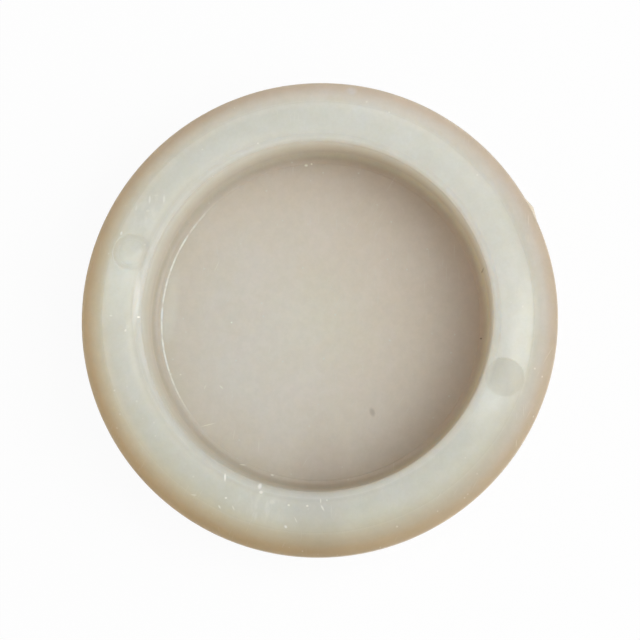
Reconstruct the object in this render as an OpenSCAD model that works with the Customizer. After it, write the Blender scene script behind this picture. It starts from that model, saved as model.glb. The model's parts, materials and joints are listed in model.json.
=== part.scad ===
// Blanking plug, moulded in one piece: a shallow cup with a closed end, inside a wide flange.
// The outside of the cup is the spigot, which presses into a round hole. The flange seats
// on the panel around the hole, and its top is a flat land between a rolled outer edge and
// the rim of the recess.
// The origin is the centre of the closed end's flat face, and +Z points out of the recess.

/* [Spigot] */
// Diameter of the spigot, and of the hole that it closes
spigot_d = 20; // [12:0.5:60]
// Length of the spigot, from the closed end's face to the flange's seat
spigot_l = 2.4; // [1.6:0.1:20]
// Thickness of the spigot's wall at the rim of the recess
wall_t = 0.85; // [0.6:0.05:2]
// Thickness of the closed end
floor_t = 1.1; // [0.6:0.05:2]
// Width of the chamfer that leads the spigot into its hole
lead_in = 0.4; // [0.1:0.05:0.5]

/* [Flange] */
// Width of the flange outside the spigot
flange_w = 2.5; // [1.5:0.1:8]
// Thickness of the flange
flange_t = 1.6; // [1.2:0.1:4]
// Radius of the flange's rolled top edge
roll_r = 1.35; // [0.3:0.05:1.6]

/* [Recess] */
// Draft of the recess wall, in degrees
draft = 3.5; // [0.5:0.25:6]
// Radius of the fillet where the wall meets the floor
foot_fillet_r = 0.45; // [0.1:0.05:0.6]
// Radius with which the land curves down to the rim
rim_round_r = 0.6; // [0.1:0.05:0.8]
// How far that curve has turned down where it meets the wall, in degrees
rim_round_turn = 45; // [20:1:80]

/* [Moulding marks] */
// Diameter of the two ejector pins that pushed on the land
pin_d = 2; // [1:0.1:2.6]
// Distance of the middle of each mark from the rim of the recess
pin_from_rim = 1.05; // [0.9:0.05:1.2]
// Depth of the round marks that the pins left
pin_mark_depth = 0.05; // [0.02:0.01:0.1]
// Direction of the first mark from the axis, in degrees; the second is opposite
pin_angle = -19; // [-180:0.5:180]
// Direction of the steep end of the gate's stub, in degrees
gate_angle = 31; // [-180:0.5:180]
// Length of the gate's stub along the flange's edge
gate_l = 2.2; // [1:0.1:4]
// Length of the stub's steep end, from its highest point
gate_steep_l = 0.95; // [0.2:0.05:0.95]
// Height of the gate's stub above the flange's seat
gate_h = 0.5; // [0.2:0.05:0.8]
// How far the gate's stub stands out of the flange's edge
gate_proud = 0.14; // [0.05:0.01:0.3]

/* [Hidden] */
$fn = 192;
PLASTIC = [0.83, 0.82, 0.77];

spigot_r = spigot_d / 2;
head_r = spigot_r + flange_w;

// Heights of the flange's seat, the land and the recess floor
seat_z = spigot_l;
land_z = seat_z + flange_t;
floor_z = floor_t;

// The recess wall leans in from its rim to its foot
rim_r = spigot_r - wall_t;
foot_r = rim_r - (land_z - floor_z) * tan(draft);

// The land starts where the curve at the rim ends. The roll is limited by the flange: it
// leaves some upright edge, and some land.
land_in_r = rim_r + rim_round_r * sin(rim_round_turn);
edge_min = 0.1;
land_min = 0.3;
roll = min(roll_r, flange_t - edge_min, head_r - land_in_r - land_min);

pin_circle_r = rim_r + pin_from_rim;

// The gate's stub grows out of the flange's edge. It starts a little inside the edge, and
// also inside the roll as far up as the stub reaches.
edge_h = flange_t - roll;
gate_root = 0.6;
gate_bite = 0.02 + roll - sqrt(pow(roll, 2) - pow(max(0, gate_h - edge_h), 2));
gate_span = gate_l / head_r * 180 / PI;
gate_steep = gate_steep_l / head_r * 180 / PI;

// Rounding arcs reach this far past their sides, so that they cross them and don't just
// touch, and the shape that holds an arc overlaps its sides by this much
slip = 0.0002;
overlap = 0.05;

// A point at a distance r from the origin in the direction a
function polar(r, a) = [r * cos(a), r * sin(a)];

// What lies between a corner and the arc of radius r that rounds it. The corner is at p,
// and its two sides run from there in the directions a and b. Cut away, it rounds an edge,
// and added, it fills a corner with a fillet.
module spandrel(p, a, b, r) {
    half = (b - a) / 2;
    centre = p + polar((r - slip) / sin(half), a + half);
    reach = r + overlap;
    difference() {
        polygon([
            centre,
            centre + polar(reach, a - 90),
            centre - polar(reach / sin(half), a + half),
            centre + polar(reach, b + 90),
        ]);
        translate(centre) circle(r);
    }
}

// Half of the plug's section, from the axis outwards
module section() {
    difference() {
        polygon([
            [0, 0],
            [spigot_r - lead_in, 0],
            [spigot_r, lead_in],
            [spigot_r, seat_z],
            [head_r, seat_z],
            [head_r, land_z],
            [rim_r, land_z],
            [foot_r, floor_z],
            [0, floor_z],
        ]);
        spandrel([head_r, land_z], 180, 270, roll);
        spandrel([land_in_r - rim_round_r, land_z], 270, 360, rim_round_r);
    }
    spandrel([foot_r, floor_z], 90 - draft, 180, foot_fillet_r);
}

// The shallow round mark of one ejector pin
module pin_mark(angle) {
    rotate([0, 0, angle])
        translate([pin_circle_r, 0, land_z - pin_mark_depth])
            cylinder(d = pin_d, h = 1);
}

// What is left of the gate after it was snapped off: a thin wedge on the flange's edge,
// which rises slowly and breaks off steeply
module gate_stub() {
    translate([0, 0, seat_z])
        linear_extrude(gate_h)
            polygon([
                polar(head_r - gate_root, gate_angle - gate_span),
                polar(head_r - gate_bite, gate_angle - gate_span),
                polar(head_r + gate_proud, gate_angle - gate_steep),
                polar(head_r - gate_bite, gate_angle),
                polar(head_r - gate_root, gate_angle),
            ]);
}

module blanking_plug() {
    color(PLASTIC)
        difference() {
            union() {
                rotate_extrude() section();
                gate_stub();
            }
            pin_mark(pin_angle);
            pin_mark(pin_angle + 180);
        }
}

blanking_plug();
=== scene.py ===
"""Looks of a blanking plug, moulded in one piece from natural, milky plastic.

The plug is modelled as a turned section: a closed end, a spigot, a flange with a rolled edge,
a flat land, and a recess with a drafted wall. Its moulding marks and wear, and painted shade
and highlights in its colour, are added to that.
"""

import json
import math

import bpy
import bmesh
from mathutils import Matrix, Vector


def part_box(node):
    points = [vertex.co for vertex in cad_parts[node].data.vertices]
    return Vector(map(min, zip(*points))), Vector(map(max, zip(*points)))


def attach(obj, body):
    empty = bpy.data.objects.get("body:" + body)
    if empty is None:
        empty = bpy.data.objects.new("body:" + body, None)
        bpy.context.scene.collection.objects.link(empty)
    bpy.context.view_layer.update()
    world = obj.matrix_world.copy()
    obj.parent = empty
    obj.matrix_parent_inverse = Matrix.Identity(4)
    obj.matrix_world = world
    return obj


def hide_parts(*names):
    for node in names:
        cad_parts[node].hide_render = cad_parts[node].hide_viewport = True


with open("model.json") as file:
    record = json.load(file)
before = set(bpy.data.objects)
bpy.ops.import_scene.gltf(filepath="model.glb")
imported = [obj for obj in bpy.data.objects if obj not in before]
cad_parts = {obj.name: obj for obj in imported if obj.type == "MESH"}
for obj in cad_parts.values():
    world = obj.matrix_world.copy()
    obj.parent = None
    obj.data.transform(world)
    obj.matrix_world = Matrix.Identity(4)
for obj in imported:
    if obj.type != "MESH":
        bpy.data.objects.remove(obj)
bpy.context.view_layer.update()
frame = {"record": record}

MM = 0.001
QUARTER = math.pi / 2
NODE = "blanking_plug"
SLOT = "natural_plastic"

# ---------------------------------------------------------------- sizes

MOUNTS = {mount["name"]: mount for mount in frame["record"]["mounts"]}
TOP_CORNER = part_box(NODE)[1]
HEAD_R = TOP_CORNER.x
LAND_Z = TOP_CORNER.z
SEAT_Z = MOUNTS["seat"]["pos_m"][2]
SPIGOT_R = MOUNTS["spigot"]["dims"]["r_mm"] * MM

# The flange's rolled edge and the spigot's lead-in
ROLL_R = 1.35 * MM
LAND_OUT_R = HEAD_R - ROLL_R
LEAD_IN = 0.4 * MM

# The recess: its wall leans in by the draft from the rim to the floor
WALL_T = 0.85 * MM
FLOOR_Z = 1.1 * MM
DRAFT = math.radians(3.5)
RIM_R = SPIGOT_R - WALL_T
FOOT_R = RIM_R - (LAND_Z - FLOOR_Z) * math.tan(DRAFT)
FOOT_FILLET = 0.45 * MM

# A low step round the floor, inside the fillet: its radius, and its slope's width and height
STEP_R = 8.49 * MM
STEP_W = 0.06 * MM
STEP_H = 0.03 * MM

# The land curves down to the rim. Its arc would turn this far by the rim's radius, and it
# meets the leaning wall a little further on, in a crease.
RIM_ROUND = 0.6 * MM
RIM_TURN = math.radians(45)
CREASE_TURN = math.asin((math.sin(RIM_TURN) + math.tan(DRAFT)) * math.cos(DRAFT)) - DRAFT
LAND_IN_R = RIM_R + RIM_ROUND * math.sin(RIM_TURN)

# The two round marks of the ejector pins, opposite each other on the land
MARK_R = 1.0 * MM
MARK_DEPTH = 0.02 * MM
MARK_FROM_RIM = 1.05 * MM
MARK_ANGLE = math.radians(-19)
MARK_PLACES = [
    Vector((math.cos(angle), math.sin(angle), 0)) * (RIM_R + MARK_FROM_RIM)
    for angle in (MARK_ANGLE, MARK_ANGLE + math.pi)
]

# The gate's stub is a wedge on the flange's edge. It rises slowly from its start to its
# highest point and ends steeply, and its root, its start and its end lie inside the edge.
GATE_ANGLES = [math.radians(angle) for angle in (20.9, 26.6, 31.0)]
GATE_PROUD = 0.14 * MM
GATE_BITE = 0.08 * MM
GATE_RADII = [HEAD_R - GATE_BITE, HEAD_R + GATE_PROUD, HEAD_R - GATE_BITE]
GATE_ROOT = 0.6 * MM
GATE_HEIGHT = 0.5 * MM
GATE_ROOT_R = HEAD_R - GATE_ROOT
GATE_TOP_Z = SEAT_Z + GATE_HEIGHT

# The flange's edge leans in a little below the mould's parting line, which stands proud
PARTING_Z = SEAT_Z + 0.23 * MM
PARTING_STEP = 0.02 * MM

# Small rounds that every moulded corner has, and the width of the flats beside each curve
EDGE_ROUND = 0.06 * MM
SEAT_FILLET = 0.15 * MM
MARGIN = 0.03 * MM

# Points closer together than this are made one, and a value this close to another matches it
MERGED = 0.001 * MM
MATCHED = 0.002 * MM

# Flats of the round surfaces, and of each kind of curve in the section
SIDES = 360
MARK_SIDES = 128
ROLL_STEPS = 24
RIM_STEPS = 10
FILLET_STEPS = 12
SMALL_STEPS = 4
GATE_STEPS = 2

# Edges that turn by less than this look smooth
SMOOTH_ANGLE = math.radians(25)


# ---------------------------------------------------------------- modelling helpers


def deselect():
    """Nothing is selected or active any more."""
    bpy.ops.object.select_all(action="DESELECT")
    bpy.context.view_layer.objects.active = None


def activate(piece):
    """Selects this piece alone, and makes it the active one."""
    deselect()
    piece.select_set(True)
    bpy.context.view_layer.objects.active = piece


def edit(piece, selection="DESELECT"):
    """Starts edit mode on this piece alone, with nothing in it selected, or with SELECT, all."""
    activate(piece)
    bpy.ops.object.mode_set(mode="EDIT")
    bpy.ops.mesh.select_all(action=selection)


def done():
    """Ends edit mode."""
    bpy.ops.object.mode_set(mode="OBJECT")


def near(a, b):
    return abs(a - b) < MATCHED


def select_edges(piece, test):
    """Selects the edges of a piece in edit mode whose two ends both pass the test."""
    mesh = bmesh.from_edit_mesh(piece.data)
    bpy.ops.mesh.select_mode(type="EDGE")
    for edge in mesh.edges:
        edge.select_set(all(test(vertex.co) for vertex in edge.verts))
    bmesh.update_edit_mesh(piece.data)


def arc(centre_r, centre_z, size, start, end, steps):
    """Points of the section on an arc, from one direction to another. 0 points outwards."""
    turns = [start + (end - start) * step / steps for step in range(steps + 1)]
    return [(centre_r + size * math.cos(t), centre_z + size * math.sin(t)) for t in turns]


def draw_rings(section):
    """Draws the selected ring out through the points of a section, each a radius and height."""
    for (radius, height), (next_radius, next_height) in zip(section, section[1:]):
        lift = {"value": (0, 0, next_height - height)}
        bpy.ops.mesh.extrude_edges_move(TRANSFORM_OT_translate=lift)
        scale = next_radius / radius
        bpy.ops.transform.resize(value=(scale, scale, 1), center_override=(0, 0, 0))


def combine(piece, tool, operation):
    """Cuts a tool from a piece, or unites them, and removes the tool."""
    activate(piece)
    boolean = piece.modifiers.new("combine", "BOOLEAN")
    boolean.operation = operation
    boolean.object = tool
    boolean.solver = "EXACT"
    bpy.ops.object.modifier_apply(modifier=boolean.name)
    bpy.data.objects.remove(tool)


# ---------------------------------------------------------------- the plug


def spigot_section():
    """The edge of the closed end, the lead-in, the spigot, and the fillet under the flange."""
    fillet_r = SPIGOT_R + SEAT_FILLET
    fillet_z = SEAT_Z - SEAT_FILLET
    points = [(SPIGOT_R - LEAD_IN - MARGIN, 0.0), (SPIGOT_R - LEAD_IN, 0.0)]
    points += [(SPIGOT_R, LEAD_IN), (SPIGOT_R, fillet_z - MARGIN)]
    points += arc(fillet_r, fillet_z, SEAT_FILLET, math.pi, QUARTER, SMALL_STEPS)
    return points + [(fillet_r + MARGIN, SEAT_Z)]


def head_section():
    """The flange, from its seat round the rolled edge and over the land to the rim's crease."""
    corner_r = HEAD_R - PARTING_STEP - EDGE_ROUND
    rim_end = QUARTER + CREASE_TURN
    points = [(corner_r - MARGIN, SEAT_Z)]
    points += arc(corner_r, SEAT_Z + EDGE_ROUND, EDGE_ROUND, -QUARTER, 0, SMALL_STEPS)
    points += [(HEAD_R - PARTING_STEP / 2, PARTING_Z - PARTING_STEP), (HEAD_R, PARTING_Z)]
    points += arc(LAND_OUT_R, LAND_Z - ROLL_R, ROLL_R, 0, QUARTER, ROLL_STEPS)
    points += [(LAND_OUT_R - MARGIN, LAND_Z), (LAND_IN_R + MARGIN, LAND_Z)]
    points += arc(LAND_IN_R, LAND_Z - RIM_ROUND, RIM_ROUND, QUARTER, rim_end, RIM_STEPS)
    return points


def recess_section():
    """The foot of the recess wall, its fillet, and the low step down to the floor."""
    fillet_r = FOOT_R - FOOT_FILLET * (1 - math.sin(DRAFT)) / math.cos(DRAFT)
    fillet_z = FLOOR_Z + FOOT_FILLET
    fillet_end = math.acos(1 - STEP_H / FOOT_FILLET) - QUARTER
    fillet = arc(fillet_r, fillet_z, FOOT_FILLET, -DRAFT, fillet_end, FILLET_STEPS)
    radius, height = fillet[0]
    wall = [(radius + MARGIN * math.tan(DRAFT), height + MARGIN)]
    step = [(STEP_R + STEP_W, FLOOR_Z + STEP_H), (STEP_R, FLOOR_Z), (STEP_R - MARGIN, FLOOR_Z)]
    return wall + fillet + step


def turned_body():
    """The plug's section, drawn out ring by ring from the closed end to the recess floor."""
    section = spigot_section() + head_section() + recess_section()
    first_r = section[0][0]
    deselect()
    bpy.ops.mesh.primitive_circle_add(vertices=SIDES, radius=first_r, fill_type="NGON")
    plug = bpy.context.object
    plug.name = plug.data.name = "plug_moulding"
    edit(plug)
    select_edges(plug, lambda point: near(point.xy.length, first_r))
    draw_rings(section)
    bpy.ops.mesh.edge_face_add()
    bpy.ops.mesh.select_all(action="SELECT")
    bpy.ops.mesh.normals_make_consistent(inside=False)
    done()
    return plug


def pin_cutter(place):
    """What an ejector pin pressed out of the land."""
    deselect()
    middle = Vector((place.x, place.y, LAND_Z + MARK_R - MARK_DEPTH))
    bpy.ops.mesh.primitive_cylinder_add(
        vertices=MARK_SIDES, radius=MARK_R, depth=2 * MARK_R, location=middle
    )
    return bpy.context.object


def on_gate_crest(point):
    """True on the upper outer edge of the gate's stub."""
    return point.xy.length > (GATE_ROOT_R + HEAD_R) / 2 and near(point.z, GATE_TOP_Z)


def gate_stub():
    """The wedge on the flange's edge that was left where the gate was snapped off."""
    deselect()
    bpy.ops.mesh.primitive_cube_add(size=1)
    stub = bpy.context.object
    edit(stub, "SELECT")
    bpy.ops.mesh.bisect(plane_co=(0, 0, 0), plane_no=(0, 1, 0))
    done()
    for vertex in stub.data.vertices:
        station = round(vertex.co.y * 2) + 1
        angle = GATE_ANGLES[station]
        radius = GATE_RADII[station] if vertex.co.x > 0 else GATE_ROOT_R
        height = GATE_TOP_Z if vertex.co.z > 0 else SEAT_Z
        vertex.co = (radius * math.cos(angle), radius * math.sin(angle), height)
    edit(stub)
    select_edges(stub, on_gate_crest)
    bpy.ops.mesh.bevel(offset=EDGE_ROUND, segments=GATE_STEPS, profile=0.5, affect="EDGES")
    done()
    return stub


def make_plug():
    """The whole moulding, with its marks and its gate's stub, as one closed mesh."""
    plug = turned_body()
    combine(plug, gate_stub(), "UNION")
    for place in MARK_PLACES:
        combine(plug, pin_cutter(place), "DIFFERENCE")
    edit(plug, "SELECT")
    bpy.ops.mesh.remove_doubles(threshold=MERGED)
    bpy.ops.mesh.dissolve_degenerate(threshold=MERGED)
    done()
    bpy.ops.object.shade_smooth_by_angle(angle=SMOOTH_ANGLE)
    return plug


# ---------------------------------------------------------------- shader maths
# Places and sizes on the plastic are in millimetres, and directions and turns in degrees. A
# direction is seen from the plug's axis: 0 is along +X, and 90 along +Y.

# A tint grows over this distance on each side of the axis
TINT_REACH = 12

# Most of a noise lies between these values
NOISE_SPAN = (0.35, 0.65)


def tone(red, green, blue):
    """A colour given in display values from 0 to 255, as the linear values a shader takes."""
    shares = [value / 255 for value in (red, green, blue)]
    return [s / 12.92 if s <= 0.04045 else ((s + 0.055) / 1.055) ** 2.4 for s in shares] + [1.0]


def polar(radius, direction):
    """A place in the plug's plane, from its distance from the axis and its direction."""
    turn = math.radians(direction)
    return (radius * math.cos(turn), radius * math.sin(turn), 0)


class Value:
    """A socket of a material's nodes. Arithmetic on it adds Math nodes."""

    def __init__(self, tree, socket):
        self.tree = tree
        self.socket = socket

    def node(self, kind, inputs=(), output=0, ramp=None, **settings):
        """Adds any other node. Its settings come first, then its sockets' values or links."""
        node = self.tree.nodes.new("ShaderNode" + kind)
        for name, setting in settings.items():
            setattr(node, name, setting)
        if ramp:
            stops = node.color_ramp.elements
            while len(stops) < len(ramp):
                stops.new(0.5)
            for stop, (place, colour) in zip(stops, ramp):
                stop.position = place
                stop.color = colour
        for name, value in dict(inputs).items():
            if isinstance(value, Value):
                self.tree.links.new(value.socket, node.inputs[name])
            else:
                node.inputs[name].default_value = value
        return Value(self.tree, node.outputs[output])

    def calculate(self, operation, *others):
        return self.node("Math", enumerate((self, *others)), operation=operation)

    def __add__(self, other):
        return self.calculate("ADD", other)

    def __sub__(self, other):
        return self.calculate("SUBTRACT", other)

    def __rsub__(self, other):
        return (self * -1) + other

    def __mul__(self, other):
        return self.calculate("MULTIPLY", other)

    def __gt__(self, other):
        return self.calculate("GREATER_THAN", other)

    def __lt__(self, other):
        return self.calculate("LESS_THAN", other)

    def __or__(self, other):
        return self.calculate("MAXIMUM", other)

    __radd__ = __add__
    __rmul__ = __mul__

    def rise(self, start, end):
        """0 up to the start, 1 from the end on, and a smooth step between them."""
        inputs = {"Value": self, "From Min": start, "From Max": end}
        return self.node("MapRange", inputs, interpolation_type="SMOOTHSTEP")

    def climb(self, start, end, top=1.0):
        """0 up to the start, top from the end on, and a straight slope between them."""
        inputs = {"Value": self, "From Min": start, "From Max": end, "To Max": top}
        return self.node("MapRange", inputs)

    def tones(self, pairs):
        """The colour for this value, from pairs of a value and a display colour, as they rise."""
        low, high = pairs[0][0], pairs[-1][0]
        ramp = [((value - low) / (high - low), tone(*colour)) for value, colour in pairs]
        return self.node("ValToRGB", {0: self.climb(low, high)}, ramp=ramp)

    def mix(self, first, second, blend="MIX"):
        """The first colour where this value is 0, and the second, or their blend, where 1."""
        inputs = {"Factor": self, 6: first, 7: second}
        return self.node("Mix", inputs, output=2, data_type="RGBA", blend_type=blend)

    def away_from(self, direction):
        """0 on the side of the plug that lies in this direction, and 1 on the opposite side."""
        inputs = {0: self, 1: polar(1, direction)}
        along = self.node("VectorMath", inputs, output=1, operation="DOT_PRODUCT")
        return along.rise(TINT_REACH, -TINT_REACH)

    def length(self):
        return self.node("VectorMath", {0: self}, output=1, operation="LENGTH")

    def framed(self, middle, turn=0.0, size=(1, 1, 1)):
        """This place as seen from a frame with this middle, turn and size."""
        rotation = (0, 0, math.radians(turn))
        inputs = {"Vector": self, "Location": middle, "Rotation": rotation, "Scale": size}
        return self.node("Mapping", inputs, vector_type="TEXTURE")

    def noise(self, scale, detail):
        return self.node("TexNoise", {"Vector": self, "Scale": scale, "Detail": detail})


def new_material(name):
    """A material, its Principled shader, and the place on the object."""
    material = bpy.data.materials.new(name)
    material.use_nodes = True
    tree = material.node_tree
    place = Value(tree, tree.nodes.new("ShaderNodeTexCoord").outputs["Object"])
    place = place.node("VectorMath", {0: place, "Scale": 1 / MM}, operation="SCALE")
    return material, tree.nodes["Principled BSDF"], place


# ---------------------------------------------------------------- the plastic's tones, with painted shade and light

# Display tones of the plastic along the plug's section: of the head and the floor by radius,
# and of the recess wall by height. It is milky where it is thick, and warmer and browner
# where it thins out. The tones also hold painted light: the wall is painted darker low down,
# and the floor darker towards the wall, as shade; lighter bands at the rim and at the land's
# outer edge are painted light; and the rolled edge's brown is partly painted shade and reflection.
TOP_TONES_AND_LIGHT = [
    (9.14, (232, 228, 212)),
    (9.3, (238, 238, 226)),
    (9.6, (210, 212, 204)),
    (10.0, (208, 211, 205)),
    (10.8, (209, 212, 207)),
    (11.15, (217, 217, 211)),
    (11.3, (215, 213, 206)),
    (11.55, (217, 211, 203)),
    (11.8, (212, 203, 194)),
    (12.05, (207, 192, 179)),
    (12.25, (199, 183, 166)),
    (12.5, (184, 164, 146)),
]
WALL_TONES_AND_SHADE = [
    (1.1, (209, 198, 182)),
    (1.35, (219, 210, 194)),
    (1.9, (207, 199, 186)),
    (2.6, (221, 216, 203)),
    (3.4, (232, 230, 221)),
    (3.8, (223, 220, 210)),
]
FLOOR_TONES_AND_SHADE = [
    (0.0, (251, 234, 216)),
    (4.0, (246, 228, 214)),
    (5.8, (239, 224, 210)),
    (7.6, (229, 215, 201)),
    (8.5, (221, 209, 194)),
]

# The faces below the roll
EDGE_TONE = tone(200, 186, 169)
SEAT_TONES = [(10.0, (216, 211, 199)), (12.4, (203, 192, 176))]
SPIGOT_TONE = tone(218, 214, 203)
CLOSED_END_TONE = tone(226, 219, 206)

# Each tint is painted shade. It grows from nothing on the side of its direction to its full
# strength opposite. The rolled edge is painted darker, and the head warmer, most of all towards
# its edge. The rim and the recess wall are painted darker, and the floor is painted darker and
# warmer as the wall's shadow. The head's tints set in or fade between the radii given, and the
# wall's gets stronger between the heights given.
EDGE_LIT_SIDE = 147
EDGE_SHADE_TINT = tone(215, 221, 222)
EDGE_SHADE_RADII = (10.55, 11.7)
HEAD_LIT_SIDE = 39
HEAD_WARM_SHADE_TINT = tone(249, 235, 198)
HEAD_WARM_SHADE_RADII = (9.9, 12.7)
RIM_LIT_SIDE = 14
RIM_SHADE_TINT = tone(194, 198, 204)
RIM_SHADE_RADII = (9.2, 9.8)
WALL_LIT_SIDE = 37
WALL_SHADE_TINT = tone(211, 214, 215)
WALL_SHADE_HEIGHTS = (2.0, 3.0)
WALL_SHADE_FOOT_SHARE = 0.6
FLOOR_LIT_SIDE = 202
FLOOR_SHADOW_TINT = tone(244, 233, 226)

# Radii and heights that part the faces from each other. The crease lies a little inside the
# rim's radius, and the closed end's face lies well below its limit.
CREASE = (RIM_R - 0.011 * MM) / MM
BODY_OUTSIDE = CREASE + 0.3
SPIGOT_LIMIT = SPIGOT_R / MM + 0.1
CLOSED_END_LIMIT = FLOOR_Z / MM * 0.3
SEAT_HEIGHT = SEAT_Z / MM
SEAT_LIMIT = SEAT_HEIGHT + 0.03
UPPER_LIMIT = SEAT_HEIGHT + 0.05
EDGE_HEIGHTS = (2.7, 3.15)
FILLET_RADII = ((FOOT_R - FOOT_FILLET) / MM, FOOT_R / MM)

# How rough the land is, how much rougher other faces are, and where that sets in
LAND_ROUGHNESS = 0.13
RECESS_ROUGHER = 0.22
RECESS_RADII = (9.3, 9.7)
ROLL_ROUGHER = 0.35
ROLL_RADII = (11.1, 11.4)


def recess_tone(place, across, height):
    """The colour of the recess wall and floor, each painted darker on one side as shade."""
    # Painted shade on one side of the wall, and the wall's painted shadow on one side of the floor
    higher = (1 - WALL_SHADE_FOOT_SHARE) * height.rise(*WALL_SHADE_HEIGHTS)
    painted_shade = place.away_from(WALL_LIT_SIDE) * (WALL_SHADE_FOOT_SHARE + higher)
    wall = painted_shade.mix(height.tones(WALL_TONES_AND_SHADE), WALL_SHADE_TINT, "MULTIPLY")
    painted_shade = place.away_from(FLOOR_LIT_SIDE)
    floor = painted_shade.mix(across.tones(FLOOR_TONES_AND_SHADE), FLOOR_SHADOW_TINT, "MULTIPLY")
    on_floor = 1 - across.rise(*FILLET_RADII)
    return on_floor.mix(wall, floor)


def head_tone(place, across):
    """The colour of the rim, the land and the rolled edge, with painted shade on one side."""
    # Painted shade on one side: the rolled edge darker, the head warmer, and the rim darker
    edge_shade = place.away_from(EDGE_LIT_SIDE) * across.rise(*EDGE_SHADE_RADII)
    warm_shade = place.away_from(HEAD_LIT_SIDE) * across.rise(*HEAD_WARM_SHADE_RADII)
    painted_shade = place.away_from(RIM_LIT_SIDE) * (1 - across.rise(*RIM_SHADE_RADII))
    colour = edge_shade.mix(across.tones(TOP_TONES_AND_LIGHT), EDGE_SHADE_TINT, "MULTIPLY")
    colour = warm_shade.mix(colour, HEAD_WARM_SHADE_TINT, "MULTIPLY")
    return painted_shade.mix(colour, RIM_SHADE_TINT, "MULTIPLY")


def body_tone(place, across, height):
    """The moulding's colour, with its painted shade and light, before its clouds, marks and wear.
    """
    inside = across < CREASE
    outside = across > BODY_OUTSIDE
    edge = outside * (1 - height.rise(*EDGE_HEIGHTS))
    seat = outside * (height < SEAT_LIMIT)
    spigot = outside * (across < SPIGOT_LIMIT) * (height < SEAT_HEIGHT)
    closed_end = height < CLOSED_END_LIMIT
    colour = inside.mix(head_tone(place, across), recess_tone(place, across, height))
    colour = edge.mix(colour, EDGE_TONE)
    colour = seat.mix(colour, across.tones(SEAT_TONES))
    colour = spigot.mix(colour, SPIGOT_TONE)
    return closed_end.mix(colour, CLOSED_END_TONE)


def body_roughness(across):
    """The land is the glossiest. The recess, the rim and the rolled edge are rougher."""
    recess = 1 - across.rise(*RECESS_RADII)
    roll = across.rise(*ROLL_RADII)
    return LAND_ROUGHNESS + RECESS_ROUGHER * recess + ROLL_ROUGHER * roll


def upper_side(across, height):
    """1 on the land, the roll and inside the recess, and 0 on all that faces the panel."""
    in_recess = (across < CREASE) * (height > CLOSED_END_LIMIT)
    return in_recess | (height > UPPER_LIMIT)


# ---------------------------------------------------------------- marks, wear and painted highlights

# Spots of wear and of painted light. Each has the radius and direction of its middle, its length
# and width, the turn of its length, and its strength. These are nicks and rubbed streaks on the
# land, and the last is a long painted highlight beside the rim.
LAND_NICKS_AND_HIGHLIGHT = [
    (9.3, -108, 0.36, 0.26, 80, 1.0),
    (9.57, -107, 0.24, 0.2, 0, 0.9),
    (9.6, -119, 0.5, 0.14, 90, 1.0),
    (10.5, -116, 0.17, 0.14, 0, 0.9),
    (11.05, -116.5, 0.28, 0.12, -60, 0.6),
    (10.8, -113, 0.36, 0.11, -65, 0.5),
    (9.9, -103, 0.4, 0.3, 0, 0.35),
    (10.8, -106.5, 0.6, 0.2, 80, 0.25),
    (9.9, -98, 0.17, 0.14, 0, 0.8),
    (9.85, -92.5, 0.16, 0.14, 0, 0.8),
    (9.95, -88, 0.45, 0.13, -60, 0.6),
    (9.6, -88.5, 0.3, 0.1, 90, 0.5),
    (11.0, -98, 0.22, 0.16, -50, 0.8),
    (10.6, -95.5, 0.45, 0.06, -65, 0.5),
    (11.2, -124, 0.4, 0.07, -5, 0.5),
    (10.66, 145, 0.6, 0.15, 86, 0.6),
    (10.05, 142.5, 0.6, 0.16, 88, 0.5),
    (10.5, 143, 0.3, 0.15, 0, 0.3),
    (11.0, 149, 0.35, 0.14, 80, 0.4),
    (10.4, 148, 0.25, 0.18, 0, 0.4),
    (11.09, 157, 0.26, 0.15, 75, 1.0),
    (10.7, 180, 0.2, 0.14, 0, 0.5),
    (9.95, -175.5, 0.2, 0.14, 60, 0.6),
    (9.26, -179.5, 0.2, 0.12, 0, 0.9),
    # A painted highlight: a long streak beside the rim
    (9.43, 175, 3.6, 0.42, 86, 0.5),
]
# Nicks and scratches on the recess floor and its fillet, and last a broad painted highlight on
# the floor beside the step's glint
FLOOR_NICKS_AND_HIGHLIGHT = [
    (8.15, -137, 1.0, 0.06, 14, 0.6),
    (6.35, -146, 0.32, 0.1, -45, 0.7),
    (7.1, -150, 0.3, 0.08, 70, 0.4),
    (8.0, -159, 0.16, 0.1, 0, 0.5),
    (7.6, -127, 0.7, 0.05, 80, 0.3),
    (7.4, -116, 0.9, 0.06, 88, 0.25),
    (8.6, -107, 0.22, 0.14, -20, 0.9),
    (8.7, -118, 0.45, 0.07, -5, 0.7),
    (8.45, 95, 0.24, 0.16, 0, 1.0),
    (8.5, 93, 0.14, 0.12, 0, 0.8),
    (4.74, -179, 0.14, 0.12, 0, 1.0),
    (6.3, 152, 0.9, 0.05, 65, 0.4),
    (3.1, -150, 0.9, 0.04, 75, 0.25),
    # A painted highlight on the floor beside the step's glint
    (8.1, 174, 4.8, 1.1, 84, 0.2),
]
# The most handled parts of the land, which are hazed
SCUFFED = [
    (10.25, -106, 3.8, 1.9, -12, 0.8),
    (10.4, 148, 3.4, 1.6, 62, 0.8),
    (9.75, -178, 2.4, 0.9, 92, 0.5),
]
# Broad parts of the land get a painted sheen, or are painted darker as shade, and the rolled edge
# has a painted highlight spot
SHEEN_PATCHES = [
    (10.65, -8, 8.0, 1.7, 82, 0.2),
    (9.9, -27, 4.0, 1.6, 63, 0.25),
    (10.4, 167, 6.5, 2.1, 77, 0.22),
]
# Painted shade: the land darker on one side
SHADE_PATCHES = [(10.4, -90, 13.0, 3.6, 90, 0.9)]
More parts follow.
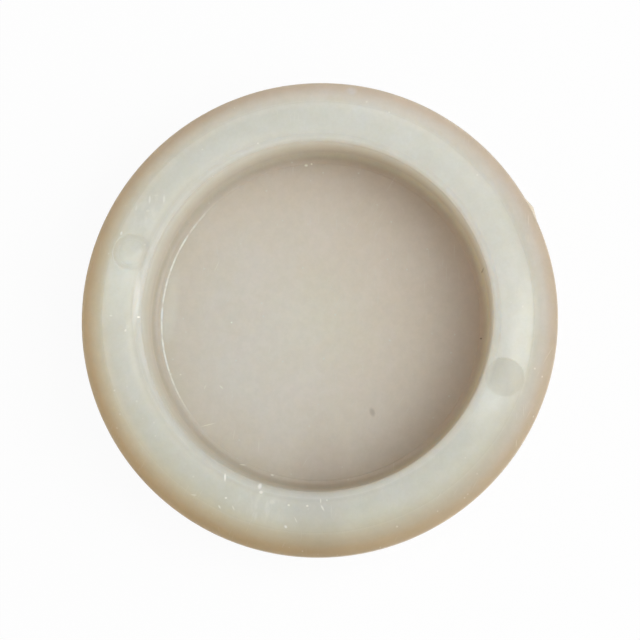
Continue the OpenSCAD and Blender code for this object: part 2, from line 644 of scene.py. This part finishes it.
# A painted highlight spot on the rolled edge
HIGHLIGHT_SPOTS = [(11.95, 81, 0.7, 0.6, 0, 0.5)]
DARK_SPECKS = [
    (5.65, -60.5, 0.6, 0.35, -70, 0.3),
    (8.62, -7, 0.16, 0.12, 0, 0.8),
    (9.0, 16, 0.18, 0.12, 60, 0.6),
]

SHEEN_TONE = tone(250, 252, 243)
SHADE_PATCH_TINT = tone(246, 246, 247)
SPOT_HIGHLIGHT_TONE = tone(212, 210, 214)
CLOUD_TINT = tone(253, 253, 251)
MOTTLE_TINT = tone(252, 252, 252)
GRAIN_TINT = tone(253, 253, 252)
MARK_TINT = tone(247, 246, 245)
WEAR_AND_HIGHLIGHT_TONE = tone(238, 238, 230)
NICK_AND_GLINT_TONE = tone(255, 247, 230)
DIRT_TONE = tone(120, 104, 84)

# The painted sheen, shade and highlight patches, in the order in which they are laid over the
# plastic's tone
PATCHES = [
    (SHEEN_PATCHES, SHEEN_TONE, "MIX"),
    (SHADE_PATCHES, SHADE_PATCH_TINT, "MULTIPLY"),
    (HIGHLIGHT_SPOTS, SPOT_HIGHLIGHT_TONE, "MIX"),
]

# A spot is at full strength up to this share of its size, and fades from there to its edge.
# Its frame is so tall that the height of the surface makes no difference.
SPOT_CORE = 0.4
TALL = 60

# Each pattern of fine wear comes from a noise, and shows where the noise rises past the values
# given. A seed moves it. Hair scratches come in lots, each with its turn, seed and share.
HAIR_SIZE = (1.4, 0.05, 1.4)
HAIR_VALUES = (0.66, 0.76)
HAIR_PATCH_SCALE = 0.45
HAIR_PATCH_VALUES = (0.62, 0.72)
HAIR_LOTS = [(88, 3.1, 0.08), (60, 7.7, 0.05)]

# Dust-like specks: how many cells a millimetre holds, and how wide a speck is in its cell
SPECK_CELLS = 1.6
SPECK_WIDTHS = (0.05, 0.11)
SPECK_PATCH_SCALE = 0.9
SPECK_PATCH_VALUES = (0.45, 0.55)
SPECK_SEED = 5.3

# The blotches of a scuff
BLOTCH_SIZE = (0.6, 0.3, 1)
BLOTCH_TURN = 80
BLOTCH_VALUES = (0.42, 0.68)
BLOTCH_SEED = 2.2

# The middle of the floor step's slope. It gets a painted glint and more gloss only where it lies
# nearly opposite the side given, and unevenly.
STEP_MIDDLE = (STEP_R + STEP_W / 2) / MM
STEP_UNGLINTED_SIDE = -7
STEP_GLINT_SIDE = (0.84, 0.94)
STEP_NOISE = (1.8, 2.0)
STEP_VALUES = (0.25, 0.6)

# The pin marks: how sharp the edges of the even one and of the ringed one are, how far out the
# ring lies, as shares of the mark's radius, and how strong it and its blotches are
EVEN_MARK_EDGE = (0.97, 1.0)
RING_MARK_EDGE = (0.95, 1.0)
RING_START = (0.45, 0.8)
RING_STRENGTH = 0.45
MARK_BLOTCHES = (2.2, 3.0)
MARK_BLOTCH_STRENGTH = 0.3

# How strongly each kind of wear shows in the colour
SCUFFS_SHOWN = 0.3
HAIRS_SHOWN = 0.2
SPECKS_SHOWN = 0.35


def spots(place, listed):
    """How strongly the spots in a list show here."""
    shown = 0.0
    for radius, direction, length, width, turn, strength in listed:
        size = (length / 2, width / 2, TALL)
        away = place.framed(polar(radius, direction), turn, size).length()
        shown = away.climb(1, SPOT_CORE, strength) | shown
    return shown


def hair_scratches(place, turn, seed, share):
    """Fine scratches that all run one way, in patches that grow with their share."""
    drawn = place.framed((seed, seed, 0), turn, HAIR_SIZE).noise(1.0, 1.0)
    patch = place.framed((0, seed, 0)).noise(HAIR_PATCH_SCALE, 1.0)
    start, end = HAIR_PATCH_VALUES
    return drawn.rise(*HAIR_VALUES) * patch.rise(start - share, end - share)


def fine_specks(place):
    """Dust-like specks, thinly strewn in patches."""
    cell = place.framed((SPECK_SEED, 0, 0))
    off_speck = cell.node("TexVoronoi", {"Vector": cell, "Scale": SPECK_CELLS}).rise(*SPECK_WIDTHS)
    return (1 - off_speck) * cell.noise(SPECK_PATCH_SCALE, 0.0).rise(*SPECK_PATCH_VALUES)


def scuffs(place):
    """A blotchy haze on the most handled parts of the land."""
    blotches = place.framed((BLOTCH_SEED, 0, 0), BLOTCH_TURN, BLOTCH_SIZE).noise(1.0, 3.0)
    return blotches.rise(*BLOTCH_VALUES) * spots(place, SCUFFED)


def pale_wear_and_highlight(place, upper):
    """How strongly nicks, scuffs and a painted highlight streak show on the upper side, and fine
    wear all over.
    """
    first, second = [hair_scratches(place, *lot) for lot in HAIR_LOTS]
    wear_and_highlight = (spots(place, LAND_NICKS_AND_HIGHLIGHT) | scuffs(place) * SCUFFS_SHOWN) * upper
    return wear_and_highlight | (first | second) * HAIRS_SHOWN | fine_specks(place) * SPECKS_SHOWN


def glinting_step(place, across):
    """Where the slope of the floor's step gets a painted glint and more gloss: unevenly, and on
    one side only.
    """
    off_slope = (across - STEP_MIDDLE).calculate("ABSOLUTE").rise(STEP_W / MM / 2, STEP_W / MM)
    one_side = place.away_from(STEP_UNGLINTED_SIDE).rise(*STEP_GLINT_SIDE)
    return (1 - off_slope) * one_side * place.noise(*STEP_NOISE).rise(*STEP_VALUES)


def pin_marks(place):
    """How matt the two ejector-pin marks are: one evenly, and one mostly in a ring."""
    size = (MARK_R / MM, MARK_R / MM, TALL)
    first, second = [place.framed(middle / MM, 0, size).length() for middle in MARK_PLACES]
    blotches = place.noise(*MARK_BLOTCHES).rise(*NOISE_SPAN)
    ring = RING_STRENGTH * second.rise(*RING_START) | blotches * MARK_BLOTCH_STRENGTH
    return (1 - first.rise(*EVEN_MARK_EDGE)) | (1 - second.rise(*RING_MARK_EDGE)) * ring


# ---------------------------------------------------------------- the plastic

# The scale and detail of the noise in the plastic
CLOUDS = (0.55, 3.0)
MOTTLE = (1.8, 3.0)
GRAIN = (6.0, 2.0)

# How much rougher the clouds, the pin marks and wear are, and how much glossier the step where
# its glint is painted
CLOUDS_ROUGHER = 0.05
MARKS_ROUGHER = 0.35
WEAR_ROUGHER = 0.3
GLINT_GLOSSIER = 0.25

# How much of the relief is grain and how much is clouds, and how high it stands
GRAIN_RELIEF = 0.12
CLOUD_RELIEF = 0.25
RELIEF_HEIGHT = 0.01 * MM

# How far red light travels in the plastic, and how far each colour does beside it
SCATTER_DEPTH = 4.5 * MM
SCATTER_SHARES = (1.0, 0.8, 0.6)


def plastic():
    """Milky plastic, glossiest on the land, with its moulding marks and wear, and painted shade
    and highlights in its colour.
    """
    material, shader, place = new_material(SLOT)
    across = place.node("VectorMath", {0: place, 1: (1, 1, 0)}, operation="MULTIPLY").length()
    height = place.node("SeparateXYZ", {0: place}, output=2)
    clouds = place.noise(*CLOUDS)
    mottle = place.noise(*MOTTLE)
    grain = place.noise(*GRAIN)
    upper = upper_side(across, height)
    marks = pin_marks(place) * upper
    wear_and_highlight = pale_wear_and_highlight(place, upper)
    # Where the floor's step gets a painted glint and more gloss
    step_glint = glinting_step(place, across) * upper

    # The moulding's tones, with painted shade and light
    colour = body_tone(place, across, height)
    # Painted sheen, painted shade and a painted highlight spot
    for listed, patch_tone, blend in PATCHES:
        colour = (spots(place, listed) * upper).mix(colour, patch_tone, blend)
    for noise, tint in ((clouds, CLOUD_TINT), (mottle, MOTTLE_TINT), (grain, GRAIN_TINT)):
        colour = noise.rise(*NOISE_SPAN).mix(colour, tint, "MULTIPLY")
    colour = marks.mix(colour, MARK_TINT, "MULTIPLY")
    # Wear in a pale tone, and a painted highlight streak beside the rim
    colour = wear_and_highlight.mix(colour, WEAR_AND_HIGHLIGHT_TONE)
    # A painted glint on the floor's step, the floor's nicks, and a painted highlight beside the
    # step
    colour = (step_glint | spots(place, FLOOR_NICKS_AND_HIGHLIGHT) * upper).mix(colour, NICK_AND_GLINT_TONE)
    colour = (spots(place, DARK_SPECKS) * upper).mix(colour, DIRT_TONE)

    roughness = body_roughness(across) + CLOUDS_ROUGHER * clouds + marks * MARKS_ROUGHER
    roughness = roughness + wear_and_highlight * WEAR_ROUGHER - step_glint * GLINT_GLOSSIER
    relief = GRAIN_RELIEF * grain + CLOUD_RELIEF * clouds
    bump = relief.node("Bump", {"Height": relief, "Distance": RELIEF_HEIGHT})

    links = material.node_tree.links
    links.new(colour.socket, shader.inputs["Base Color"])
    links.new(roughness.socket, shader.inputs["Roughness"])
    links.new(bump.socket, shader.inputs["Normal"])
    shader.inputs["Subsurface Weight"].default_value = 1.0
    shader.inputs["Subsurface Radius"].default_value = SCATTER_SHARES
    shader.inputs["Subsurface Scale"].default_value = SCATTER_DEPTH
    return material


# ---------------------------------------------------------------- stage

WHITE = (1, 1, 1, 1)
FLOOR_SIZE = 2.0
FLOOR_COLOUR = (0.9, 0.9, 0.9, 1)
FLOOR_ROUGHNESS = 0.9

# How much of the floor's look is plain white
FLOOR_WHITE = 0.94

# How bright the room is around the lamps
ROOM_LEVEL = 0.178


def pale_floor():
    """A pale, matt floor, which looks nearly white itself and in gloss, with soft shadows."""
    material, shader, place = new_material("pale_floor")
    tree = place.tree
    shader.inputs["Base Color"].default_value = FLOOR_COLOUR
    shader.inputs["Roughness"].default_value = FLOOR_ROUGHNESS
    rays = tree.nodes.new("ShaderNodeLightPath")
    seen = Value(tree, rays.outputs["Is Camera Ray"])
    for kind in ("Is Glossy Ray", "Is Transmission Ray"):
        seen = seen | Value(tree, rays.outputs[kind])
    white = seen.node("Emission", {"Color": WHITE, "Strength": 1.0})
    lit = Value(tree, shader.outputs[0])
    shown = seen.node("MixShader", {0: seen * FLOOR_WHITE, 1: lit, 2: white})
    tree.links.new(shown.socket, tree.nodes["Material Output"].inputs["Surface"])
    return material


def make_floor():
    deselect()
    bpy.ops.mesh.primitive_plane_add(size=FLOOR_SIZE)
    floor = bpy.context.object
    floor.name = "floor"
    floor.data.materials.append(pale_floor())


def make_world():
    world = bpy.data.worlds.new("studio")
    world.use_nodes = True
    background = world.node_tree.nodes["Background"]
    background.inputs["Color"].default_value = WHITE
    background.inputs["Strength"].default_value = ROOM_LEVEL
    bpy.context.scene.world = world


# Soft lamps: azimuth and elevation in degrees, distance, width and height in metres, and
# brightness. Azimuth 0 is along +X, and 90 along +Y. A brightness of 1 looks just white.
LAMPS = {
    "window": (0, 42, 0.3, 0.5, 0.4, 1.13),
    "key": (0, 42, 0.3, 0.2, 0.14, 3.3),
    "key_low": (0, 24, 0.3, 0.32, 0.08, 2.1),
    "overhead_right": (64, 82.5, 0.3, 0.04, 0.04, 3.35),
    "overhead_left": (120, 77, 0.3, 0.13, 0.045, 2.1),
    "left_fill": (180, 22, 0.3, 0.8, 0.3, 0.565),
    "front_fill": (270, 22, 0.3, 0.3, 0.2, 0.335),
}


def make_lamp(name, azimuth, elevation, distance, width, height, level):
    """A soft lamp, aimed at the plug."""
    turn, tilt = math.radians(azimuth), math.radians(elevation)
    flat = math.cos(tilt)
    away = Vector((math.cos(turn) * flat, math.sin(turn) * flat, math.sin(tilt)))
    data = bpy.data.lights.new(name, "AREA")
    data.shape = "RECTANGLE"
    data.size = width
    data.size_y = height
    data.energy = level * math.pi * width * height
    lamp = bpy.data.objects.new(name, data)
    facing = away.to_track_quat("Z", "Y").to_matrix().to_4x4()
    lamp.matrix_world = Matrix.Translation(away * distance) @ facing
    lamp.visible_camera = False
    bpy.context.scene.collection.objects.link(lamp)


# The camera looks almost straight down. It leans from upright by a tilt, in a direction.
CAMERA_LENS = 90.6
CAMERA_SENSOR = 36
CAMERA_CLIP = (0.005, 5.0)
CAMERA_DISTANCE = 83.1 * MM
CAMERA_TILT = math.radians(7.97)
CAMERA_DIRECTION = math.radians(-57.9)
CAMERA_AIM = Vector((0.22 * MM, -0.32 * MM, LAND_Z))


def make_camera():
    data = bpy.data.cameras.new("camera")
    data.lens = CAMERA_LENS
    data.sensor_width = CAMERA_SENSOR
    data.clip_start, data.clip_end = CAMERA_CLIP
    camera = bpy.data.objects.new("camera", data)
    outwards = Vector((math.cos(CAMERA_DIRECTION), math.sin(CAMERA_DIRECTION), 0))
    away = outwards * math.sin(CAMERA_TILT) + Vector((0, 0, math.cos(CAMERA_TILT)))
    place = Vector((0, 0, LAND_Z)) + CAMERA_DISTANCE * away
    look = (CAMERA_AIM - place).normalized()
    right = look.cross(Vector((0, 1, 0))).normalized()
    up = right.cross(look)
    facing = Matrix((right, up, -look)).transposed().to_4x4()
    camera.matrix_world = Matrix.Translation(place) @ facing
    bpy.context.scene.collection.objects.link(camera)
    bpy.context.scene.camera = camera


make_camera()
plug = make_plug()
plug.data.materials.clear()
plug.data.materials.append(plastic())
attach(plug, "root")
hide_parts(NODE)
make_floor()
make_world()
for lamp_name, settings in LAMPS.items():
    make_lamp(lamp_name, *settings)

bpy.context.scene.view_settings.view_transform = "Standard"
